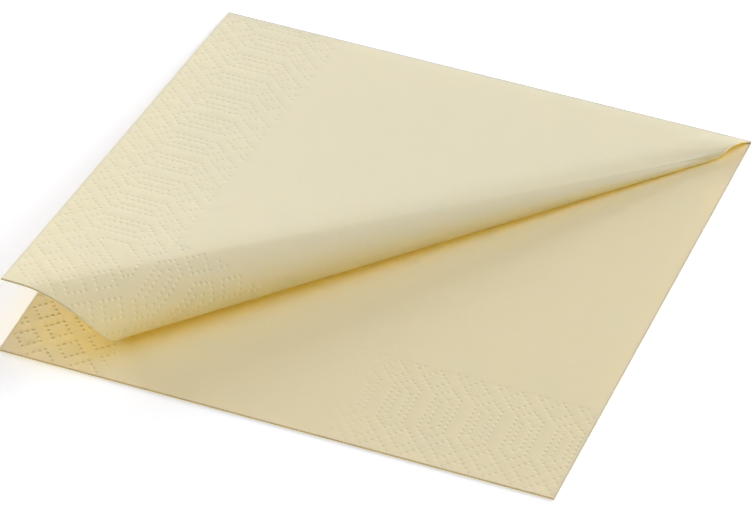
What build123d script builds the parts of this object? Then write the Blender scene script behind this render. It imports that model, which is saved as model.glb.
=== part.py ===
from build123d import *
import math
import os

# Folded paper napkin: one square sheet folded twice to a quarter, four layers deep.
# The two top layers, the upper leaf, stand open about the back fold. The front right
# corner of that leaf is turned under, so the leaf rolls round a slim cone and the
# turned part lies flat between the leaves.
#
# Frame: the origin is the middle of the underside. +Z is up, the back fold lies
# towards +Y and the side folds towards +X. The raw edges face -X and -Y.

# Driving sizes, in millimetres and degrees
side = 165.0          # side of the folded square
ply = 0.20            # thickness of one layer
ply_gap = 0.12        # air between the two layers of a leaf
fold_gap = 0.30       # air inside the back fold, between the leaves
tuck_gap = 0.15       # air between the turned part and the lower leaf
lift = 8.40           # angle between the leaves
roll_angle = 45.86    # angle from the back fold to the axis of the roll
tip_out = 0.43        # the tip of the roll, out from the right side
corner_in = 1.0       # the raised corner, in from the left side
gather_in = 10.0      # the upper side fold, drawn in at the foot of the roll
roll_sections = 15    # sections that shape the roll's edges
spare = 0.1           # how far a cut runs past the face it opens

# Sizes that follow
half = side / 2
leaf = 2 * ply + ply_gap
fold_in = fold_gap / 2
hinge_y = half - fold_in - leaf
hinge_z = leaf + fold_in
open_angle = math.radians(lift)
axis_angle = math.radians(roll_angle)

# The raised leaf: the direction along it and the direction out of its upper face
along = Vector(0, -math.cos(open_angle), math.sin(open_angle))
out = Vector(0, math.sin(open_angle), math.cos(open_angle))

# The roll is a circular cone that touches both leaves. Its tip lies where the inner
# face of the raised leaf comes down to the level of the turned part.
turned_z = leaf + tuck_gap + leaf
tip_run = (turned_z - hinge_z - fold_in * out.Z) / along.Z
tip = Vector(half + tip_out, hinge_y, hinge_z) + out * fold_in + along * tip_run
cone_angle = math.asin(math.sin(axis_angle) * math.sin(open_angle / 2))
roll_start = math.atan(math.tan(axis_angle) * math.cos(open_angle / 2))
axis_rise = math.sin(axis_angle) * math.sin(open_angle / 2)
axis_run = math.sin(axis_angle) * math.cos(open_angle / 2)
cone_axis = Vector(-math.cos(axis_angle), -axis_run, axis_rise)
first_ray = along * math.sin(roll_start) - Vector(math.cos(roll_start), 0, 0)
last_ray = Vector(-math.cos(roll_start), -math.sin(roll_start), 0)
spoke = (first_ray - cone_axis * math.cos(cone_angle)).normalized()
side_spoke = spoke.cross(cone_axis)
last_spoke = (last_ray - cone_axis * math.cos(cone_angle)).normalized()
roll_sweep = math.atan2(last_spoke.dot(side_spoke), last_spoke.dot(spoke)) % (2 * math.pi)
roll_end = roll_start + math.sin(cone_angle) * roll_sweep


def ray_cut(p, q, angle):
    """Where the line from p to q meets the ray from the tip at an angle"""
    across, down = q[0] - p[0], q[1] - p[1]
    sine, cosine = math.sin(angle), math.cos(angle)
    share = (p[0] * sine - p[1] * cosine) / (down * cosine - across * sine)
    return (p[0] + share * across, p[1] + share * down)


def reach(p, q, angle):
    """How far from the tip that point is"""
    return math.hypot(*ray_cut(p, q, angle))


# Outline of the unfolded leaf. The first number runs from the tip to the left, the
# second from the tip towards the raw edge.
left = half + tip.X
back = tip_run * -1
raw = side - (half - hinge_y) - tip_run
back_left = (left, back)
back_right = (tip_out, back)
raised_corner = (left - corner_in, raw)
turned_corner = (tip_out, raw)
fold_foot = (tip_out + gather_in, (tip_out + gather_in) * math.tan(roll_end))

# The same side fold, one layer further in
inner_right = (back_right[0] + ply, back)
inner_foot = (fold_foot[0] + ply, (fold_foot[0] + ply) * math.tan(roll_end))
inner_corner = (turned_corner[0] + ply, raw)

# Planes that carry the raised part and the turned part. Both take the sizes of the
# unfolded leaf as they are.
raised = Plane(origin=tip, x_dir=(-1, 0, 0), z_dir=out)
turn = roll_start + roll_end
turned = Plane(origin=tip, x_dir=(-math.cos(turn), -math.sin(turn), 0), z_dir=(0, 0, -1))


def roll_plane(angle):
    """Plane through the cone's axis. Its first axis is the ray, its second points out."""
    arm = spoke * math.cos(angle) + side_spoke * math.sin(angle)
    ray = cone_axis * math.cos(cone_angle) + arm * math.sin(cone_angle)
    return Plane(origin=tip, x_dir=ray, z_dir=ray.cross(arm))


def roll_turns():
    """Turn about the cone's axis and angle in the unfolded leaf, section by section"""
    for number in range(roll_sections):
        angle = roll_sweep * number / (roll_sections - 1)
        yield angle, roll_start + math.sin(cone_angle) * angle


with BuildPart() as napkin:
    # Roll: a shell turned about the cone's axis, longer than needed at both ends
    shortest = reach(back_right, fold_foot, roll_start)
    longest = reach(raised_corner, turned_corner, roll_start)
    pressed = reach(inner_right, inner_foot, roll_end)
    roll_axis = Axis(tip, cone_axis * -1)
    with BuildSketch(roll_plane(0)):
        Polygon((shortest, 0), (longest, 0), (longest, leaf), (shortest, leaf), align=None)
    revolve(axis=roll_axis, revolution_arc=math.degrees(roll_sweep))

    # Air between its layers, up to where the side fold presses them together
    with BuildSketch(roll_plane(0)):
        Polygon(
            (pressed, ply),
            (longest + spare, ply),
            (longest + spare, ply + ply_gap),
            (pressed, ply + ply_gap),
            align=None,
        )
    revolve(axis=roll_axis, revolution_arc=math.degrees(roll_sweep), mode=Mode.SUBTRACT)

    # Its raw edge and its folded edge, each a straight line on the unfolded leaf
    for angle, ray in roll_turns():
        edge = reach(raised_corner, turned_corner, ray)
        end = longest + spare
        with BuildSketch(roll_plane(angle)):
            Polygon((edge, -spare), (end, -spare), (end, leaf + spare), (edge, leaf + spare), align=None)
    loft(mode=Mode.SUBTRACT)
    for angle, ray in roll_turns():
        edge = reach(back_right, fold_foot, ray)
        end = shortest - spare
        with BuildSketch(roll_plane(angle)):
            Polygon((end, -spare), (edge, -spare), (edge, leaf + spare), (end, leaf + spare), align=None)
    loft(mode=Mode.SUBTRACT)

    # Raised part of the upper leaf, up to the ray where the roll starts
    roll_foot = ray_cut(back_right, fold_foot, roll_start)
    roll_front = ray_cut(raised_corner, turned_corner, roll_start)
    for level in (0, ply + ply_gap):
        with BuildSketch(raised.offset(level)):
            Polygon(back_left, back_right, roll_foot, roll_front, raised_corner, align=None)
        extrude(amount=ply)
    with BuildSketch(raised):
        Polygon(back_right, roll_foot, ray_cut(inner_right, inner_foot, roll_start), inner_right, align=None)
    extrude(amount=leaf)

    # Turned part, flat over the lower leaf
    turned_front = ray_cut(raised_corner, turned_corner, roll_end)
    for level in (0, ply + ply_gap):
        with BuildSketch(turned.offset(level)):
            Polygon(fold_foot, turned_front, turned_corner, align=None)
        extrude(amount=ply)
    with BuildSketch(turned):
        Polygon(fold_foot, inner_foot, inner_corner, turned_corner, align=None)
    extrude(amount=leaf)

    # Lower leaf: two layers joined by the side fold
    with BuildSketch(Plane.XZ.offset(-hinge_y)) as layers:
        with BuildLine():
            underside = Line((-half, 0), (half - leaf / 2, 0))
            CenterArc((half - leaf / 2, leaf / 2), leaf / 2, -90, 180)
            upper_face = Line((half - leaf / 2, leaf), (-half, leaf))
            Line(upper_face @ 1, (-half, leaf - ply))
            ceiling = Line((-half, leaf - ply), (half - leaf / 2, leaf - ply))
            CenterArc((half - leaf / 2, leaf / 2), ply_gap / 2, 90, -180)
            floor = Line((half - leaf / 2, ply), (-half, ply))
            Line(floor @ 1, underside @ 0)
        make_face()
    extrude(amount=half + hinge_y)

    # Back fold: the same section turned round the hinge line
    hinge = Axis((0, hinge_y, hinge_z), (1, 0, 0))
    revolve(profiles=layers.sketch, axis=hinge, revolution_arc=180 - lift)

napkin.part.label = "napkin"
os.makedirs("parts", exist_ok=True)
export_step(napkin.part, "parts/napkin.step")
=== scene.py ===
"""Dresses the folded paper napkin: the embossed sheet, its tissue and a plain stage."""

import math

import bmesh
import bpy
import numpy as np
from mathutils import Matrix, Vector
from mathutils.geometry import delaunay_2d_cdt
from mathutils.kdtree import KDTree


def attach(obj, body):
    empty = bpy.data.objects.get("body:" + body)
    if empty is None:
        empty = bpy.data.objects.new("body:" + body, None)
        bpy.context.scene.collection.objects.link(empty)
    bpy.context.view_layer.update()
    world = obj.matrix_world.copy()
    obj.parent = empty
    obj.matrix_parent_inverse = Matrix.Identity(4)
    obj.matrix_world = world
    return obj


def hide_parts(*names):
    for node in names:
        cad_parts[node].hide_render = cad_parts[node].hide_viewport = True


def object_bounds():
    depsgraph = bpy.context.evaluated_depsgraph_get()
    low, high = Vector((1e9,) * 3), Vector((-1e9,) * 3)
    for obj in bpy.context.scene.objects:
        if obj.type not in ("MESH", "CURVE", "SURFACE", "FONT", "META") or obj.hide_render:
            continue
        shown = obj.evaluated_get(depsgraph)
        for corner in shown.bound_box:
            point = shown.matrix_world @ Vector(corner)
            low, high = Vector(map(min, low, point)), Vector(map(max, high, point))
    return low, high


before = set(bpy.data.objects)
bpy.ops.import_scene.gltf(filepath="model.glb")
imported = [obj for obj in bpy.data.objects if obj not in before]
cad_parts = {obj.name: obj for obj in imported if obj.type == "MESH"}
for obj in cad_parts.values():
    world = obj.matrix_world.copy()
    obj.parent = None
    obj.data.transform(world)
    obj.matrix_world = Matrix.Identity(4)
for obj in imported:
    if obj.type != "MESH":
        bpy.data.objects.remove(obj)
CAD_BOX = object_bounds()
SIDE = CAD_BOX[1].x - CAD_BOX[0].x

bl_info = {
    "name": "Folded Paper Napkin",
    "version": (1, 0, 0),
    "blender": (4, 5, 0),
    "location": "3D View > Sidebar > Napkin",
    "description": "Folds an embossed tissue napkin to a quarter with one corner turned under",
    "category": "Object",
}

MM = 0.001

# Where the leaf stands off the cone at the roll's open end. The ridge is a share of the
# angle where the roll starts, and the end a share of the angle where it ends.
FLARE_RISE = 3 * MM
FLARE_FADE_FROM = 4 * MM
FLARE_FADE_WIDTH = 11 * MM
FLARE_RIDGE = 0.7
FLARE_END = 0.97

# Where the leaf sags inside the plane and the cone. The shares are of the distance from
# the tip, and of the roll's radius. The smallest length keeps a division from zero.
SAG_WIDTH_SHARE = 0.6
SAG_DEPTH_SHARE = 0.9
SAG_SOFTNESS = 2.2
SAG_FADE_FROM = 4 * MM
SAG_FADE_WIDTH = 12 * MM
SMALLEST = 1e-9

# Steps that find where a point lay before the side fold was drawn in
UNDRAW_STEPS = 12
UNDRAW_SHARE = 0.7

# Figures of the border in millimetres. A long figure has half its width, then its start,
# shoulders and end from the raw edge. A diamond has its inset and its half sizes. A
# chevron has half its width, and its feet and point from the raw edge.
LONG_FIGURE = (3.7, 9.6, 13.0, 27.4, 30.6)
LONG_FIGURE_WITHIN = (1.6, 13.8, 15.6, 24.8, 26.6)
INNER_DIAMOND = (33.2, 3.6, 3.8)
OUTER_DIAMOND = (7.2, 3.7, 4.0)
INNER_CHEVRON = (1.2, 37.3, 35.9)
OUTER_CHEVRON = (3.9, 0.9, 4.9)

# Figures of the corner block in millimetres from its two raw edges
CORNER_ROWS = range(-1, 5)
CORNER_FIRST = (5.6, 7.4)
CORNER_STEP = (6.55, 6.3)
CORNER_DIAMOND = (3.85, 3.75)
CORNER_LAST_ROW = 4
CORNER_LINK = [(16.0, 30.2), (18.2, 31.9), (24.4, 31.9), (31.2, 25.3), (31.2, 19.4), (29.4, 17.3)]
CORNER_END = (32.1, 32.6, 3.6, 3.6)

# Room round the dots: a share of their width, and millimetres from the edges and folds
DOT_ROOM = 1.05
RAW_EDGE_ROOM = 0.8
SIDE_FOLD_ROOM = 1.0
BACK_FOLD_ROOM = 1.2

# Where the deepest dots and the faint ones change to the depth of the band
CORNER_BLOCK = 28 * MM
CORNER_CHANGE = 10 * MM
FAINT_CHANGE = 8 * MM
FAINT_RETURN = 18 * MM

# Mesh of one flat quarter
WELD = 2e-7
SNAP = 1e-8
DOT_SIDES = 6
RAYS_BEFORE_ROLL = (32.0, 26.0, 20.0, 15.0, 10.5, 7.5, 5.2, 3.6, 2.4, 1.5, 0.7)
ROLL_RAYS = 41
RAY_POINTS = 160
RAY_STRIDE = 8
RAY_FROM_EDGE = 1.0 * MM
RAY_END_NEAR = 0.1 * MM
EDGE_POINTS_APART = 0.35 * MM
EDGE_STEP = 2.4 * MM
FOLD_STEP = 5.0 * MM
CORNER_FOLD_STEP = 1.3 * MM
CORNER_FOLD_LENGTH = 26 * MM
SIDE_FOLD_LINES = 4
BACK_FOLD_LINES = 6
BAND_ROOM = 0.8 * MM
DOT_TO_RAY = 0.95 * MM
RAY_TO_EDGE = 0.4 * MM
GRID_STEP = 6.0 * MM
SHARP_ANGLE = math.radians(50)

# Sockets of a Mix node that are used for colours
MIX_SHARE, MIX_UNDER, MIX_OVER, MIX_RESULT = 0, 6, 7, 2

# Tissue: the range of noise that makes clouds, how far each grain is drawn out and its
# detail, the width and strength of the painted shade on the folds and raw edges, the share
# of light that goes through at those marks, and the shader's values
CLOUD_RANGE = (0.35, 0.75)
CLOUD_GRAIN = (1.6, 3.0)
CREPE_GRAIN = (5.0, 1.0)
FIBRE_GRAIN = (1.5, 2.0)
FOLD_MARK_WIDTH = 1.5
EDGE_SHADE_STRENGTH = 0.15
SHADED_THROUGH = 0.2
TISSUE_ROUGHNESS = 0.52
TISSUE_SPECULAR = 0.6

# Stage
FLOOR_SIZE = 6.0
FLOOR_DEPTH = 0.02 * MM
FLOOR_ROUGHNESS = 0.8
UNDER_SHARE = 0.96
SENSOR_WIDTH = 36
NEAREST, FARTHEST = 0.05, 50
BOUNCES = 32
ALL_BOUNCES = 48

# Lamps: name, azimuth and elevation in degrees, and colour
LAMPS = (
    ("back_left", 40, 12, (0.798, 0.841, 1.0)),
    ("back_right", -40, 12, (1.0, 0.993, 0.993)),
    ("top", 0, 89, (0.0, 0.178, 1.0)),
    ("front_low", 180, 40, (1.0, 0.721, 0.127)),
    ("front_high", 180, 65, (0.547, 0.725, 1.0)),
)


class NapkinSizes(bpy.types.PropertyGroup):
    """Sizes of the folded sheet"""

    side: bpy.props.FloatProperty(
        name="Side", description="Side of the folded square", default=SIDE, unit="LENGTH"
    )
    ply: bpy.props.FloatProperty(
        name="Layer", description="Thickness of one layer", default=0.20 * MM, unit="LENGTH"
    )
    ply_gap: bpy.props.FloatProperty(
        name="Air in a leaf", description="Air between the two layers of a leaf",
        default=0.12 * MM, unit="LENGTH",
    )
    fold_gap: bpy.props.FloatProperty(
        name="Air in the back fold", description="Air between the leaves at the back fold",
        default=0.30 * MM, unit="LENGTH",
    )
    tuck_gap: bpy.props.FloatProperty(
        name="Air under the turned part", description="Air between the turned part and the lower leaf",
        default=0.15 * MM, unit="LENGTH",
    )
    lift: bpy.props.FloatProperty(
        name="Lift", description="Angle between the leaves", default=math.radians(8.40), subtype="ANGLE"
    )
    roll_angle: bpy.props.FloatProperty(
        name="Roll direction", description="Angle from the back fold to the axis of the roll",
        default=math.radians(45.86), subtype="ANGLE",
    )
    tip_out: bpy.props.FloatProperty(
        name="Tip", description="The tip of the roll, out from the right side",
        default=0.43 * MM, unit="LENGTH",
    )
    corner_in: bpy.props.FloatProperty(
        name="Raised corner", description="The raised corner, in from the left side",
        default=1.0 * MM, unit="LENGTH",
    )
    gather_in: bpy.props.FloatProperty(
        name="Gather", description="The upper side fold, drawn in at the foot of the roll",
        default=10.0 * MM, unit="LENGTH",
    )
    gather_width: bpy.props.FloatProperty(
        name="Gather width", description="Width of paper that takes up the gather",
        default=45.0 * MM, unit="LENGTH",
    )
    sag: bpy.props.FloatProperty(
        name="Sag", description="How far the paper sags in where the roll starts",
        default=1.05 * MM, unit="LENGTH",
    )
    sag_less: bpy.props.FloatProperty(
        name="Less sag", description="What the sag loses as the roll's radius grows", default=0.035
    )
    sag_width: bpy.props.FloatProperty(
        name="Sag width", description="Flat paper that bends before the roll",
        default=11.0 * MM, unit="LENGTH",
    )
    flare: bpy.props.FloatProperty(
        name="Flare", description="How far the roll opens at its side fold",
        default=0.95 * MM, unit="LENGTH",
    )


class NapkinBorder(bpy.types.PropertyGroup):
    """Sizes of the dotted border"""

    band: bpy.props.FloatProperty(
        name="Band", description="Width of the border", default=38.0 * MM, unit="LENGTH"
    )
    pitch: bpy.props.FloatProperty(
        name="Dot pitch", description="Distance from dot to dot", default=1.8 * MM, unit="LENGTH"
    )
    dot_width: bpy.props.FloatProperty(
        name="Dot width", description="Width of one round dot", default=1.16 * MM, unit="LENGTH"
    )
    dot_depth: bpy.props.FloatProperty(
        name="Dot depth", description="Depth of the deepest dots", default=0.17 * MM, unit="LENGTH"
    )
    first: bpy.props.FloatProperty(
        name="First figure", description="First long figure, from the corner",
        default=39.4 * MM, unit="LENGTH",
    )
    repeat_front: bpy.props.FloatProperty(
        name="Front repeat", description="Repeat along the front raw edge",
        default=12.04 * MM, unit="LENGTH",
    )
    repeat_left: bpy.props.FloatProperty(
        name="Left repeat", description="Repeat along the left raw edge",
        default=12.46 * MM, unit="LENGTH",
    )
    left_shift: bpy.props.FloatProperty(
        name="Left shift", description="The left band, shifted towards its edge",
        default=1.2 * MM, unit="LENGTH",
    )
    band_press: bpy.props.FloatProperty(
        name="Band press", description="Depth of the band's dots, as a share of the deepest",
        default=0.58, subtype="FACTOR",
    )
    faint: bpy.props.FloatProperty(
        name="Faint press", description="What is left of the depth where the lower leaf is faint",
        default=0.10, subtype="FACTOR",
    )
    faint_start: bpy.props.FloatProperty(
        name="Faint from", description="Where the faint dots start, from the left raw edge",
        default=27.0 * MM, unit="LENGTH",
    )
    faint_end: bpy.props.FloatProperty(
        name="Faint to", description="Where the faint dots end, from the left raw edge",
        default=92.0 * MM, unit="LENGTH",
    )


class NapkinPaper(bpy.types.PropertyGroup):
    """Colours and finish of the tissue, with painted shade on its folds, raw edges and cut rim and
    painted light in its dots
    """

    cream: bpy.props.FloatVectorProperty(
        name="Cream", description="Colour of the tissue",
        subtype="COLOR", default=(0.99, 0.98, 0.77),
    )
    cloud: bpy.props.FloatVectorProperty(
        name="Cloud", description="Colour of its denser places",
        subtype="COLOR", default=(0.985, 0.97, 0.75),
    )
    # Painted light: the bottom of a dot is a little lighter than the cream, to offset the shade in the
    # pit
    pressed: bpy.props.FloatVectorProperty(
        name="Pressed", description="Colour of the bottom of a dot",
        subtype="COLOR", default=(0.99, 0.982, 0.80),
    )
    # Painted shade: the cut rim is coloured dark because it faces away from the light
    edge: bpy.props.FloatVectorProperty(
        name="Edge", description="Colour of the cut edge",
        subtype="COLOR", default=(0.52, 0.42, 0.20),
    )
    # Painted shade: the folds and raw edges are darkened towards this colour
    painted_crease_shade: bpy.props.FloatVectorProperty(
        name="Crease", description="Colour of the pressed folds",
        subtype="COLOR", default=(0.60, 0.52, 0.34),
    )
    glow: bpy.props.FloatVectorProperty(
        name="Glow", description="Colour of light that comes through",
        subtype="COLOR", default=(0.99, 0.90, 0.03),
    )
    through: bpy.props.FloatProperty(
        name="Through", description="Share of the light that goes through",
        default=0.42, subtype="FACTOR",
    )
    cloud_size: bpy.props.FloatProperty(
        name="Cloud size", description="Size of the uneven places", default=7.0 * MM, unit="LENGTH"
    )
    crepe: bpy.props.FloatProperty(
        name="Crepe", description="Distance between the fine crepe lines",
        default=0.55 * MM, unit="LENGTH",
    )
    crepe_height: bpy.props.FloatProperty(
        name="Crepe height", description="Height of the crepe lines",
        default=0.022 * MM, unit="LENGTH",
    )
    press_height: bpy.props.FloatProperty(
        name="Press height", description="Depth that the shading adds to the deepest dots",
        default=0.33 * MM, unit="LENGTH",
    )
    # Painted shade: a strip of this width along the raw edges is darkened towards the crease colour
    margin: bpy.props.FloatProperty(
        name="Margin", description="Width of the denser paper along the raw edges",
        default=0.8 * MM, unit="LENGTH",
    )
    fibre: bpy.props.FloatProperty(
        name="Fibre", description="Size of the fibre grain", default=0.16 * MM, unit="LENGTH"
    )
    fibre_height: bpy.props.FloatProperty(
        name="Fibre height", description="Height of the fibre grain",
        default=0.012 * MM, unit="LENGTH",
    )


class NapkinStage(bpy.types.PropertyGroup):
    """Floor, light and camera"""

    floor: bpy.props.FloatVectorProperty(
        name="Floor", description="Colour of the floor", subtype="COLOR", default=(0.99, 0.97, 0.97)
    )
    floor_glow: bpy.props.FloatVectorProperty(
        name="Floor glow", description="Light that the floor adds",
        subtype="COLOR", default=(0.36, 0.34, 0.22),
    )
    under_glow: bpy.props.FloatVectorProperty(
        name="Glow beneath", description="Light that the floor adds under the napkin",
        subtype="COLOR", default=(0.154, 0.226, 0.226),
    )
    sky: bpy.props.FloatProperty(name="Sky", description="Strength of the even light", default=0.01)
    back_left: bpy.props.FloatProperty(
        name="Back left", description="Strength of the low lamp behind on the left", default=2.691
    )
    back_right: bpy.props.FloatProperty(
        name="Back right", description="Strength of the low lamp behind on the right", default=4.304
    )
    top: bpy.props.FloatProperty(
        name="Top", description="Strength of the cool lamp overhead", default=0.640
    )
    front_low: bpy.props.FloatProperty(
        name="Front low", description="Strength of the warm lamp in front", default=0.746
    )
    front_high: bpy.props.FloatProperty(
        name="Front high", description="Strength of the cool lamp high in front", default=0.688
    )
    softness: bpy.props.FloatProperty(
        name="Softness", description="Width of each lamp as an angle",
        default=math.radians(50), subtype="ANGLE",
    )
    lens: bpy.props.FloatProperty(
        name="Lens", description="Focal length", default=268.47 * MM, subtype="DISTANCE_CAMERA"
    )
    azimuth: bpy.props.FloatProperty(
        name="Azimuth", description="Turn of the camera about the napkin",
        default=math.radians(21.632), subtype="ANGLE",
    )
    elevation: bpy.props.FloatProperty(
        name="Elevation", description="Height of the camera as an angle",
        default=math.radians(40.062), subtype="ANGLE",
    )
    roll: bpy.props.FloatProperty(
        name="Roll", description="Turn of the camera about its view",
        default=math.radians(0.165), subtype="ANGLE",
    )
    distance: bpy.props.FloatProperty(
        name="Distance", description="From the camera to the napkin",
        default=1596.82 * MM, unit="LENGTH",
    )
    aside: bpy.props.FloatVectorProperty(
        name="Aside", description="Camera moved along its own two sides", size=2,
        default=(-2.145 * MM, -2.729 * MM), unit="LENGTH",
    )


def smooth_step(share):
    """Zero to one with level ends"""
    share = np.clip(share, 0.0, 1.0)
    return share * share * (3.0 - 2.0 * share)


class Folding:
    """Carries points of the flat sheet to their place in the folded napkin.

    On the flat sheet u runs across from the side fold, v runs along from the back fold
    and n stands off the middle of the paper. The outer layers have u above zero and the
    upper leaf has v above zero.
    """

    def __init__(self, sizes):
        self.half = sizes.side / 2
        self.ply = sizes.ply
        self.leaf = 2 * sizes.ply + sizes.ply_gap
        self.bend = (self.leaf - sizes.ply) / 2
        self.bend_run = math.pi * self.bend / 2
        self.middle = self.half - self.leaf / 2
        self.width = self.bend_run + self.middle + self.half
        self.length = sizes.side
        self.fold_in = sizes.fold_gap / 2
        self.fold_run = self.fold_in + self.leaf
        self.hinge = np.array([0.0, self.half - self.fold_run, self.fold_run])
        self.lift = sizes.lift
        self.corner_in = sizes.corner_in
        self.gather_in = sizes.gather_in
        self.gather_width = sizes.gather_width
        self.sag = sizes.sag
        self.sag_less = sizes.sag_less
        self.sag_width = sizes.sag_width
        self.flare = sizes.flare
        self.set_roll(sizes)

    def set_roll(self, sizes):
        """The slim cone that the leaf rolls round, as in the part's source"""
        lift = sizes.lift
        axis_angle = sizes.roll_angle
        self.along = np.array([0.0, -math.cos(lift), math.sin(lift)])
        self.out = np.array([0.0, math.sin(lift), math.cos(lift)])
        turned_z = self.leaf + sizes.tuck_gap + self.leaf
        self.tip_run = (turned_z - self.hinge[2] - self.fold_in * self.out[2]) / self.along[2]
        self.tip = self.hinge + self.out * self.fold_in + self.along * self.tip_run
        self.tip[0] = self.half + sizes.tip_out
        self.tip_v = self.fold_run + self.tip_run
        self.cone = math.asin(math.sin(axis_angle) * math.sin(lift / 2))
        self.start = math.atan(math.tan(axis_angle) * math.cos(lift / 2))
        rise = math.sin(axis_angle) * math.sin(lift / 2)
        run = math.sin(axis_angle) * math.cos(lift / 2)
        self.axis = np.array([-math.cos(axis_angle), -run, rise])
        first = self.along * math.sin(self.start) - np.array([math.cos(self.start), 0.0, 0.0])
        last = np.array([-math.cos(self.start), -math.sin(self.start), 0.0])
        spoke = first - self.axis * math.cos(self.cone)
        self.spoke = spoke / np.linalg.norm(spoke)
        self.side_spoke = np.cross(self.spoke, self.axis)
        last_spoke = last - self.axis * math.cos(self.cone)
        turn = math.atan2(last_spoke @ self.side_spoke, last_spoke @ self.spoke)
        self.end = self.start + math.sin(self.cone) * (turn % (2 * math.pi))
        self.foot_v = self.tip_v + (sizes.tip_out + self.gather_in) * math.tan(self.end)

    def flaring(self, reach, angle, v):
        """How far the paper stands off the cone beside the side fold, at the roll's open end"""
        rising = smooth_step((v - self.fold_run) / FLARE_RISE)
        fading = 1 - smooth_step((reach - FLARE_FADE_FROM) / FLARE_FADE_WIDTH)
        ridge = FLARE_RIDGE * self.start
        past = np.clip((angle - ridge) / (FLARE_END * self.end - ridge), 0, 1)
        return self.flare * rising * fading * (1 - past ** 3)

    def sagging(self, reach, angle):
        """How far the paper lies inside the plane and the cone, round the roll's first ray"""
        radius = reach * math.sin(self.cone)
        run = reach * (angle - self.start)
        before = np.minimum(self.sag_width, SAG_WIDTH_SHARE * reach) + SMALLEST
        peak = radius / 2
        deepest = np.minimum(self.sag - self.sag_less * radius, SAG_DEPTH_SHARE * radius)
        rising = np.clip((run + before) / (before + peak), 0, 1) ** SAG_SOFTNESS
        falling = smooth_step((run - peak) / (3 * peak + SMALLEST))
        fading = smooth_step((reach - SAG_FADE_FROM) / SAG_FADE_WIDTH)
        return deepest * smooth_step(rising) * (1 - falling) * fading

    def drawn(self, x, v):
        """x on the unfolded upper leaf, where the corner and the side fold are drawn in"""
        left = self.corner_in * np.clip(v / self.length, 0, 1) * (self.half - x) / (2 * self.half)
        rising = np.clip(v / self.foot_v, 0, 1)
        falling = np.clip((self.length - v) / (self.length - self.foot_v), 0, 1)
        near = np.clip(1 - (self.half - x) / self.gather_width, 0, 1)
        return x + left - self.gather_in * np.minimum(rising, falling) * near * near

    def undrawn(self, drawn, v):
        """The x whose drawn place is given"""
        x = np.array(drawn, float)
        for _ in range(UNDRAW_STEPS):
            x = x + UNDRAW_SHARE * (drawn - self.drawn(x, v))
        return x

    def section(self, u, n):
        """Side fold: place across the leaf and height over its outer face"""
        turn = np.clip(u / self.bend, -math.pi / 2, math.pi / 2)
        radius = self.bend + n
        past = np.maximum(np.abs(u) - self.bend_run, 0.0)
        x = self.middle + radius * np.cos(turn) - past
        return x, self.leaf / 2 - radius * np.sin(turn)

    def upper(self, x, v, t):
        """The upper leaf from its unfolded plane, with t up from its inner face"""
        across = self.tip[0] - x
        down = v - self.tip_v
        reach = np.hypot(across, down)
        angle = np.arctan2(down, across)
        t = t - self.sagging(reach, angle) + self.flaring(reach, angle, v)
        flat = -across[:, None] * np.array([1.0, 0, 0]) + down[:, None] * self.along
        flat = flat + t[:, None] * self.out
        turn = (angle - self.start) / math.sin(self.cone)
        arm = np.cos(turn)[:, None] * self.spoke + np.sin(turn)[:, None] * self.side_spoke
        ray = math.cos(self.cone) * self.axis + math.sin(self.cone) * arm
        off = math.cos(self.cone) * arm - math.sin(self.cone) * self.axis
        rolled = reach[:, None] * ray + t[:, None] * off
        back = self.start + self.end - angle
        turned = np.stack([-reach * np.cos(back), -reach * np.sin(back), -t], 1)
        place = np.where((angle > self.start)[:, None], rolled, flat)
        place = np.where((angle > self.end)[:, None], turned, place)
        return place + self.tip

    def place(self, flat):
        """Folded places of flat points, one row each with u, v and n"""
        u, v, n = flat.T
        x, w = self.section(u, n)
        lower = np.stack([x, self.half + v, w], 1)
        share = np.clip((v + self.fold_run) / (2 * self.fold_run), 0, 1)
        swing = (math.pi - self.lift) * share
        arm = self.hinge[2] - w
        bent_y = self.hinge[1] + arm * np.sin(swing)
        bent = np.stack([x, bent_y, self.hinge[2] - arm * np.cos(swing)], 1)
        upper = self.upper(self.drawn(x, v), v, self.leaf - w)
        folded = np.where((v < -self.fold_run)[:, None], lower, bent)
        return np.where((v > self.fold_run)[:, None], upper, folded)


def dots_along(corners, pitch, closed):
    """Places of the dots along straight strokes between corners"""
    corners = [np.array(c, float) for c in corners]
    ends = corners[1:] + corners[:1] if closed else corners[1:]
    dots = []
    for here, there in zip(corners, ends):
        run = there - here
        count = max(1, round(float(np.hypot(*run)) / pitch))
        for number in range(count):
            dots.append(tuple(here + run * number / count))
    if not closed:
        dots.append(tuple(corners[-1]))
    return dots


def diamond(along, inset, width, height):
    """Four corners of a diamond round a centre"""
    return [
        (along - width, inset),
        (along, inset + height),
        (along + width, inset),
        (along, inset - height),
    ]


def long_figure(along, width, start, shoulder, far_shoulder, end):
    """Six corners of a long pointed figure that stands on the raw edge"""
    return [
        (along, start),
        (along + width, shoulder),
        (along + width, far_shoulder),
        (along, end),
        (along - width, far_shoulder),
        (along - width, shoulder),
    ]


def chevron(along, width, feet, point):
    """Three corners of an open chevron"""
    return [(along - width, feet), (along, point), (along + width, feet)]


def band_figures(along, repeat):
    """Figures of one repeat of the border, each with whether it is closed"""
    between = along + repeat / 2
    yield long_figure(along, *LONG_FIGURE), True
    yield long_figure(along, *LONG_FIGURE_WITHIN), True
    yield diamond(between, *INNER_DIAMOND), True
    yield diamond(between, *OUTER_DIAMOND), True
    yield chevron(along, *INNER_CHEVRON), False
    yield chevron(along, *OUTER_CHEVRON), False


def corner_figures():
    """Figures of the corner block. Those at the raw edges run off the sheet."""
    for across in CORNER_ROWS:
        for down in CORNER_ROWS:
            if (across + down) % 2 == 0 and -1 < across + down <= CORNER_LAST_ROW:
                x = CORNER_FIRST[0] + CORNER_STEP[0] * across
                y = CORNER_FIRST[1] + CORNER_STEP[1] * down
                yield diamond(x, y, *CORNER_DIAMOND), True
    yield CORNER_LINK, True
    yield diamond(*CORNER_END), True


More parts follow.
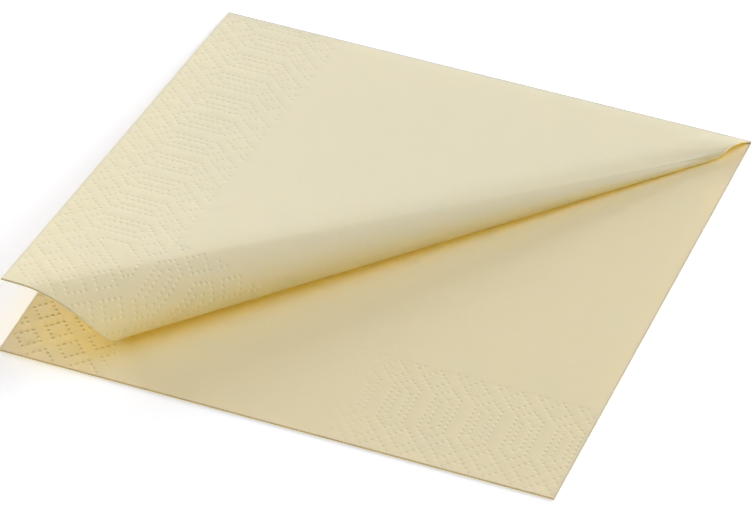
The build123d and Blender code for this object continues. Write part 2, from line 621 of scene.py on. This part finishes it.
def border_dots(border, width, length):
    """Every dot of one quarter, across and down from its two raw edges"""
    pitch = border.pitch / MM
    first = border.first / MM
    shift = border.left_shift / MM
    found = []
    for corners, closed in corner_figures():
        found += dots_along(corners, pitch, closed)
    for repeat, end, swap in ((border.repeat_front, width, False), (border.repeat_left, length, True)):
        repeat = repeat / MM
        for number in range(int((end / MM - first) / repeat) + 1):
            for corners, closed in band_figures(first + number * repeat, repeat):
                for x, y in dots_along(corners, pitch, closed):
                    found.append((y - shift, x) if swap else (x, y))
    clear = DOT_ROOM * border.dot_width / MM
    right = width / MM - SIDE_FOLD_ROOM
    bottom = length / MM - BACK_FOLD_ROOM
    kept = []
    for x, y in found:
        inside = RAW_EDGE_ROOM < x < right and RAW_EDGE_ROOM < y < bottom
        if inside and all((x - a) ** 2 + (y - b) ** 2 > clear * clear for a, b in kept):
            kept.append((x, y))
    return [(x * MM, y * MM) for x, y in kept]


class FlatQuarter:
    """Points and strokes of one quarter of the flat sheet, for a triangulation"""

    def __init__(self):
        self.points = []
        self.strokes = []
        self.depths = {}

    def add(self, u, v, depth=0.0):
        """A point, pressed in by a depth, and its number"""
        self.points.append(Vector((u, v)))
        if depth:
            self.depths[len(self.points) - 1] = depth
        return len(self.points) - 1

    def stroke(self, places, closed=False):
        """A line of points that the triangles keep as edges"""
        numbers = [self.add(u, v) for u, v in places]
        self.strokes += list(zip(numbers, numbers[1:]))
        if closed:
            self.strokes.append((numbers[-1], numbers[0]))

    def mesh(self, name, height):
        """Triangles at a height over the middle of the paper, with the dots pressed in"""
        places, _, faces, sources, _, _ = delaunay_2d_cdt(self.points, self.strokes, [], 0, SNAP)
        depth = [max([self.depths.get(s, 0.0) for s in source] + [0.0]) for source in sources]
        made = bpy.data.meshes.new(name)
        made.from_pydata([(p.x, p.y, height - d) for p, d in zip(places, depth)], [], faces)
        return made


def spaced(start, end, step):
    """Evenly spaced values from start to end, about a step apart"""
    return np.linspace(start, end, max(2, round(abs(end - start) / step) + 1))


def ray_lines(fold):
    """Rays from the roll's tip on the flat sheet, each up to a raw edge"""
    before = fold.start - np.radians(RAYS_BEFORE_ROLL)
    for angle in [*before, *np.linspace(fold.start, fold.end, ROLL_RAYS)]:
        longest = min((fold.length - fold.tip_v) / math.sin(angle), fold.width / math.cos(angle))
        reach = np.linspace(0.0, longest, RAY_POINTS)
        v = fold.tip_v + reach * math.sin(angle)
        x = fold.undrawn(fold.tip[0] - reach * math.cos(angle), v)
        u = fold.middle + fold.bend_run - x
        on_sheet = (u > fold.bend_run) & (u < fold.width - RAY_FROM_EDGE)
        yield np.stack([u, v], 1)[on_sheet]


def quarter(fold, border, dotted):
    """One quarter of the flat sheet, for its outer face if dotted or its inner face"""
    flat = FlatQuarter()
    width, length = fold.width, fold.length
    rays = list(ray_lines(fold))
    draw_edges(flat, fold, rays)
    for ray in rays:
        body = ray[ray[:, 1] < length - border.band - BAND_ROOM] if dotted else ray
        steps = body[::RAY_STRIDE] if len(body) > RAY_STRIDE else body
        if len(steps) > 1:
            flat.stroke(steps)
    if dotted:
        press_dots(flat, fold, border, rays)
    plain = border.band if dotted else GRID_STEP / 2
    for u in np.arange(GRID_STEP, width - plain, GRID_STEP):
        for v in np.arange(GRID_STEP, length - plain, GRID_STEP):
            flat.add(u, v)
    return flat


def draw_edges(flat, fold, rays):
    """Adds the raw edges, with a point where each ray ends, and the two folds"""
    width, length = fold.width, fold.length
    ray_ends = sorted(float(r[-1, 0]) for r in rays if r[-1, 1] > length - RAY_END_NEAR)
    front = sorted(set([*spaced(0, width, EDGE_STEP)] + ray_ends))
    front = [u for u in front if u in ray_ends or min(abs(u - e) for e in ray_ends) > EDGE_POINTS_APART]
    front[0], front[-1] = 0.0, width
    flat.stroke([(u, length) for u in front])
    flat.stroke([(width, v) for v in spaced(0, length, EDGE_STEP)])
    close = [
        *spaced(0, CORNER_FOLD_LENGTH, CORNER_FOLD_STEP),
        *spaced(CORNER_FOLD_LENGTH, length, FOLD_STEP)[1:],
    ]
    for u in np.linspace(0, fold.bend_run, SIDE_FOLD_LINES):
        flat.stroke([(u, v) for v in close])
    for v in np.linspace(0, fold.fold_run, BACK_FOLD_LINES):
        flat.stroke([(u, v) for u in spaced(0, width, FOLD_STEP)])


def press_dots(flat, fold, border, rays):
    """Adds the dots of the border, and the rays' points that lie between them"""
    width, length = fold.width, fold.length
    dots = border_dots(border, width, length)
    tree = KDTree(len(dots))
    turns = np.arange(DOT_SIDES) * 2 * math.pi / DOT_SIDES
    ring = border.dot_width / 2 * np.stack([np.cos(turns), np.sin(turns)], 1)
    for number, (across, down) in enumerate(dots):
        u, v = width - across, length - down
        tree.insert((u, v, 0), number)
        flat.stroke([(u + x, v + y) for x, y in ring], closed=True)
        flat.add(u, v, border.dot_depth)
    tree.balance()
    for ray in rays:
        for u, v in ray[ray[:, 1] >= length - border.band - BAND_ROOM]:
            _, _, gap = tree.find((u, v, 0))
            if gap > DOT_TO_RAY and v < length - RAY_TO_EDGE:
                flat.add(u, v)


def press_shares(fold, border, flat):
    """How deep the dots are pressed, place by place, as a share of the full depth"""
    across = fold.width - np.abs(flat[:, 0])
    down = fold.length - np.abs(flat[:, 1])
    block = [1 - smooth_step((inset - CORNER_BLOCK) / CORNER_CHANGE) for inset in (across, down)]
    corner = border.band_press + (1 - border.band_press) * block[0] * block[1]
    fading = smooth_step((across - border.faint_start) / FAINT_CHANGE)
    fading = fading * (1 - smooth_step((across - border.faint_end) / FAINT_RETURN))
    top_of_lower_leaf = (flat[:, 0] < 0) & (flat[:, 1] < 0)
    return np.where(top_of_lower_leaf, corner * (1 - (1 - border.faint) * fading), border.band_press)


def flat_sheet(fold, border):
    """The whole flat sheet, its two faces joined at the rim, with a mark on the rim's faces"""
    bm = bmesh.new()
    for name, dotted, height in (("outer", True, fold.ply / 2), ("inner", False, -fold.ply / 2)):
        mesh = quarter(fold, border, dotted).mesh(name, height)
        bm.from_mesh(mesh)
        bpy.data.meshes.remove(mesh)
    bmesh.ops.remove_doubles(bm, verts=bm.verts, dist=WELD)
    for axis in ("X", "Y"):
        whole = bm.verts[:] + bm.edges[:] + bm.faces[:]
        bmesh.ops.mirror(bm, geom=whole, matrix=Matrix(), merge_dist=WELD, axis=axis)
    cut = bm.faces.layers.int.new("cut")
    rim = [e for e in bm.edges if e.is_boundary and e.verts[0].co.z > 0 and e.verts[1].co.z > 0]
    made = bmesh.ops.extrude_edge_only(bm, edges=rim)
    lower = [v for v in made["geom"] if isinstance(v, bmesh.types.BMVert)]
    for face in made["geom"]:
        if isinstance(face, bmesh.types.BMFace):
            face[cut] = 1
    bmesh.ops.translate(bm, verts=lower, vec=(0, 0, -fold.ply))
    bmesh.ops.remove_doubles(bm, verts=bm.verts, dist=WELD)
    bmesh.ops.recalc_face_normals(bm, faces=bm.faces)
    return bm, cut


def build_sheet(fold, border):
    """The folded sheet as one closed mesh, with its flat map and its marks"""
    bm, cut = flat_sheet(fold, border)
    flat_map = bm.loops.layers.uv.new("Flat")
    # The rim's faces get the edge mark, which the tissue uses for painted shade
    edge = bm.loops.layers.float.new("edge")
    for face in bm.faces:
        face.smooth = True
        for loop in face.loops:
            loop[flat_map].uv = (loop.vert.co.x, loop.vert.co.y)
            loop[edge] = float(face[cut])
    bm.faces.layers.int.remove(cut)
    bottom = fold.ply / 2 - border.dot_depth
    # The pressed share shapes the dots' bump and also paints light into them
    pressed = bm.verts.layers.float.new("pressed")
    flat = np.array([v.co for v in bm.verts], float)
    for vert, share in zip(bm.verts, press_shares(fold, border, flat)):
        if abs(vert.co.z - bottom) < WELD:
            vert[pressed] = share * share
            vert.co.z = fold.ply / 2 - border.dot_depth * share
            for face in vert.link_faces:
                face.smooth = False
    flat = np.array([v.co for v in bm.verts], float)
    for vert, place in zip(bm.verts, fold.place(flat)):
        vert.co = place
    return bm


class Nodes:
    """Adds nodes to a material and joins them"""

    def __init__(self, name):
        self.material = bpy.data.materials.new(name)
        self.material.use_nodes = True
        self.tree = self.material.node_tree
        self.tree.nodes.clear()

    def add(self, kind, **values):
        node = self.tree.nodes.new("ShaderNode" + kind)
        for name, value in values.items():
            setattr(node, name, value)
        return node

    def join(self, source, target):
        self.tree.links.new(source, target)

    def noise(self, place, size, stretch, detail):
        """Noise whose grain has a size in metres, drawn out across by a factor"""
        mapping = self.add("Mapping")
        mapping.inputs["Scale"].default_value = (1 / (size * stretch), 1 / size, 1)
        noise = self.add("TexNoise", noise_dimensions="2D")
        noise.inputs["Scale"].default_value = 1.0
        noise.inputs["Detail"].default_value = detail
        self.join(place, mapping.inputs["Vector"])
        self.join(mapping.outputs[0], noise.inputs["Vector"])
        return noise.outputs["Fac"]

    def ranged(self, value, start, end, low=0.0, high=1.0):
        """A value carried from one range to another"""
        ranged = self.add("MapRange")
        self.join(value, ranged.inputs["Value"])
        for name, number in (("From Min", start), ("From Max", end), ("To Min", low), ("To Max", high)):
            ranged.inputs[name].default_value = number
        return ranged

    def math(self, operation, first, second=None):
        """The outcome of a Math node on one or two values"""
        sum_node = self.add("Math", operation=operation)
        self.join(first, sum_node.inputs[0])
        if second is not None:
            self.join(second, sum_node.inputs[1])
        return sum_node.outputs[0]

    def blend(self, share, under, over):
        """Colour under to colour over by a share. The lower one may come from a node."""
        mix = self.add("Mix", data_type="RGBA")
        self.join(share, mix.inputs[MIX_SHARE])
        if isinstance(under, bpy.types.NodeSocket):
            self.join(under, mix.inputs[MIX_UNDER])
        else:
            mix.inputs[MIX_UNDER].default_value = (*under, 1)
        mix.inputs[MIX_OVER].default_value = (*over, 1)
        return mix.outputs[MIX_RESULT]

    def bump(self, height, distance, under=None):
        """A bump over the one under it"""
        bump = self.add("Bump")
        bump.inputs["Distance"].default_value = distance
        self.join(height, bump.inputs["Height"])
        if under is not None:
            self.join(under.outputs[0], bump.inputs["Normal"])
        return bump


def painted_shade_marks(nodes, flat, fold, margin):
    """Where shade is painted: on the folds and, less so, along the raw edges.

    The side fold is marked on the lower leaf only.
    """
    parts = nodes.add("SeparateXYZ")
    nodes.join(flat, parts.inputs[0])
    below = nodes.add("Math", operation="LESS_THAN")
    nodes.join(parts.outputs[1], below.inputs[0])
    below.inputs[1].default_value = 0.0
    marks = None
    for number, (bend, edge) in enumerate(((fold.bend_run, fold.width), (fold.fold_run, fold.length))):
        off = nodes.math("ABSOLUTE", parts.outputs[number])
        folded = nodes.ranged(off, bend, FOLD_MARK_WIDTH * bend, 1.0, 0.0)
        if number == 0:
            nodes.join(below.outputs[0], folded.inputs["To Min"])
        # Painted shade along the raw edges, weaker than on the folds
        raw = nodes.ranged(off, edge, edge - margin, EDGE_SHADE_STRENGTH, 0.0)
        for mark in (folded.outputs[0], raw.outputs[0]):
            marks = mark if marks is None else nodes.math("MAXIMUM", marks, mark)
    return marks


def tissue_material(paper, fold):
    """Soft cream tissue with clouds, crepe and fibres, which lets some light through. Its folds, raw
    edges and cut rim carry painted shade, and its dots painted light.
    """
    nodes = Nodes("Tissue")
    flat = nodes.add("UVMap", uv_map="Flat").outputs["UV"]
    pressed = nodes.add("Attribute", attribute_name="pressed").outputs["Fac"]
    cut = nodes.add("Attribute", attribute_name="edge").outputs["Fac"]

    clouds = nodes.ranged(nodes.noise(flat, paper.cloud_size, *CLOUD_GRAIN), *CLOUD_RANGE)
    marks = painted_shade_marks(nodes, flat, fold, paper.margin)
    colour = nodes.blend(clouds.outputs[0], paper.cream, paper.cloud)
    # Painted light: the dots' bottoms are lightened towards the pressed colour
    colour = nodes.blend(pressed, colour, paper.pressed)
    # Painted shade on the folds and, more weakly, along the raw edges
    colour = nodes.blend(marks, colour, paper.painted_crease_shade)
    # Painted shade on the cut rim
    colour = nodes.blend(cut, colour, paper.edge)

    crepe = nodes.bump(nodes.noise(flat, paper.crepe, *CREPE_GRAIN), paper.crepe_height)
    fibres = nodes.bump(nodes.noise(flat, paper.fibre, *FIBRE_GRAIN), paper.fibre_height, crepe)
    dots = nodes.bump(pressed, paper.press_height, fibres)
    dots.invert = True

    shader = nodes.add("BsdfPrincipled")
    shader.inputs["Roughness"].default_value = TISSUE_ROUGHNESS
    shader.inputs["Specular IOR Level"].default_value = TISSUE_SPECULAR
    nodes.join(colour, shader.inputs["Base Color"])
    nodes.join(dots.outputs[0], shader.inputs["Normal"])
    through = nodes.add("BsdfTranslucent")
    through.inputs["Color"].default_value = (*paper.glow, 1)
    nodes.join(dots.outputs[0], through.inputs["Normal"])
    # The painted-shade marks and the cut rim also let less light through
    shade_marks_and_rim = nodes.math("MAXIMUM", marks, cut)
    share = nodes.ranged(shade_marks_and_rim, 0.0, 1.0, paper.through, SHADED_THROUGH * paper.through)
    mix = nodes.add("MixShader")
    nodes.join(share.outputs[0], mix.inputs[0])
    nodes.join(shader.outputs[0], mix.inputs[1])
    nodes.join(through.outputs[0], mix.inputs[2])
    nodes.join(mix.outputs[0], nodes.add("OutputMaterial").inputs["Surface"])
    return nodes.material


class NAPKIN_OT_sheet(bpy.types.Operator):
    """Fold the embossed sheet and give it its tissue"""

    bl_idname = "napkin.sheet"
    bl_label = "Folded Sheet"

    def execute(self, context):
        scene = context.scene
        fold = Folding(scene.napkin_sizes)
        bm = build_sheet(fold, scene.napkin_border)
        open_edges = sum(1 for e in bm.edges if not e.is_manifold)
        if open_edges:
            raise RuntimeError(f"the sheet has {open_edges} open edges")
        mesh = bpy.data.meshes.new("folded_sheet")
        bm.to_mesh(mesh)
        bm.free()
        mesh.set_sharp_from_angle(angle=SHARP_ANGLE)
        sheet = bpy.data.objects.new("folded_sheet", mesh)
        scene.collection.objects.link(sheet)
        mesh.materials.append(tissue_material(scene.napkin_paper, fold))
        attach(sheet, "root")
        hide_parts("napkin")
        return {"FINISHED"}


def floor_material(stage, side):
    """Pale floor that adds a little light of its own, less of it under the napkin"""
    nodes = Nodes("Floor")
    place = nodes.add("SeparateXYZ")
    nodes.join(nodes.add("TexCoord").outputs["Object"], place.inputs[0])
    off = [nodes.math("ABSOLUTE", place.outputs[number]) for number in range(2)]
    square = nodes.math("MAXIMUM", *off)
    outside = nodes.ranged(square, UNDER_SHARE * side / 2, side / 2)
    light = nodes.blend(outside.outputs[0], stage.under_glow, stage.floor_glow)
    shader = nodes.add("BsdfPrincipled")
    shader.inputs["Base Color"].default_value = (*stage.floor, 1)
    shader.inputs["Roughness"].default_value = FLOOR_ROUGHNESS
    shader.inputs["Emission Strength"].default_value = 1.0
    nodes.join(light, shader.inputs["Emission Color"])
    nodes.join(shader.outputs[0], nodes.add("OutputMaterial").inputs["Surface"])
    return nodes.material


def add_floor(scene):
    """A plain floor just under the napkin"""
    bm = bmesh.new()
    bmesh.ops.create_grid(bm, x_segments=1, y_segments=1, size=FLOOR_SIZE)
    bmesh.ops.translate(bm, verts=bm.verts, vec=(0, 0, -FLOOR_DEPTH))
    mesh = bpy.data.meshes.new("floor")
    bm.to_mesh(mesh)
    bm.free()
    floor = bpy.data.objects.new("floor", mesh)
    mesh.materials.append(floor_material(scene.napkin_stage, scene.napkin_sizes.side))
    scene.collection.objects.link(floor)


def direction(azimuth, elevation):
    """Towards a place in the sky. Azimuth zero is behind the napkin, 90 degrees on its left."""
    return Vector((
        -math.sin(azimuth) * math.cos(elevation),
        math.cos(azimuth) * math.cos(elevation),
        math.sin(elevation),
    ))


def add_lights(scene):
    """Wide soft lamps, far off, and a little even light"""
    stage = scene.napkin_stage
    for name, azimuth, elevation, colour in LAMPS:
        lamp = bpy.data.lights.new(name + "_lamp", "SUN")
        lamp.energy = getattr(stage, name)
        lamp.color = colour
        lamp.angle = stage.softness
        towards = direction(math.radians(azimuth), math.radians(elevation))
        light = bpy.data.objects.new(name + "_lamp", lamp)
        light.rotation_euler = towards.to_track_quat("Z", "Y").to_euler()
        light.location = towards
        scene.collection.objects.link(light)
    world = bpy.data.worlds.new("Studio")
    world.use_nodes = True
    world.node_tree.nodes["Background"].inputs["Color"].default_value = (1, 1, 1, 1)
    world.node_tree.nodes["Background"].inputs["Strength"].default_value = stage.sky
    scene.world = world


def add_camera(scene):
    """The camera at the photograph's angle"""
    stage = scene.napkin_stage
    back = direction(math.pi + stage.azimuth, stage.elevation)
    right = Vector((math.cos(stage.azimuth), math.sin(stage.azimuth), 0))
    up = back.cross(right)
    cosine, sine = math.cos(stage.roll), math.sin(stage.roll)
    right, up = cosine * right + sine * up, cosine * up - sine * right
    view = bpy.data.cameras.new("camera")
    view.sensor_width = SENSOR_WIDTH
    view.lens = stage.lens / MM
    view.clip_start = NEAREST
    view.clip_end = FARTHEST
    camera = bpy.data.objects.new("camera", view)
    camera.matrix_world = Matrix((right, up, back)).transposed().to_4x4()
    camera.location = stage.distance * back + stage.aside[0] * right + stage.aside[1] * up
    scene.collection.objects.link(camera)
    scene.camera = camera


class NAPKIN_OT_stage(bpy.types.Operator):
    """Lay the floor and set the lights and the camera"""

    bl_idname = "napkin.stage"
    bl_label = "Stage"

    def execute(self, context):
        scene = context.scene
        add_floor(scene)
        add_lights(scene)
        add_camera(scene)
        scene.view_settings.view_transform = "Standard"
        scene.cycles.diffuse_bounces = BOUNCES
        scene.cycles.transmission_bounces = BOUNCES
        scene.cycles.max_bounces = ALL_BOUNCES
        return {"FINISHED"}


class NAPKIN_PT_panel(bpy.types.Panel):
    """Lists the steps and sizes of the napkin"""

    bl_label = "Folded Napkin"
    bl_idname = "NAPKIN_PT_panel"
    bl_space_type = "VIEW_3D"
    bl_region_type = "UI"
    bl_category = "Napkin"

    def draw(self, context):
        for operator in (NAPKIN_OT_sheet, NAPKIN_OT_stage):
            self.layout.operator(operator.bl_idname)
        for group in GROUPS:
            values = getattr(context.scene, group)
            box = self.layout.box()
            for name in values.bl_rna.properties.keys():
                if name not in ("rna_type", "name"):
                    box.prop(values, name)


GROUPS = {
    "napkin_sizes": NapkinSizes,
    "napkin_border": NapkinBorder,
    "napkin_paper": NapkinPaper,
    "napkin_stage": NapkinStage,
}
CLASSES = (*GROUPS.values(), NAPKIN_OT_sheet, NAPKIN_OT_stage, NAPKIN_PT_panel)


def register():
    for kind in CLASSES:
        bpy.utils.register_class(kind)
    for name, group in GROUPS.items():
        setattr(bpy.types.Scene, name, bpy.props.PointerProperty(type=group))


def unregister():
    for name in GROUPS:
        delattr(bpy.types.Scene, name)
    for kind in reversed(CLASSES):
        bpy.utils.unregister_class(kind)


def main():
    register()
    bpy.ops.napkin.sheet()
    bpy.ops.napkin.stage()


if __name__ == "__main__":
    main()
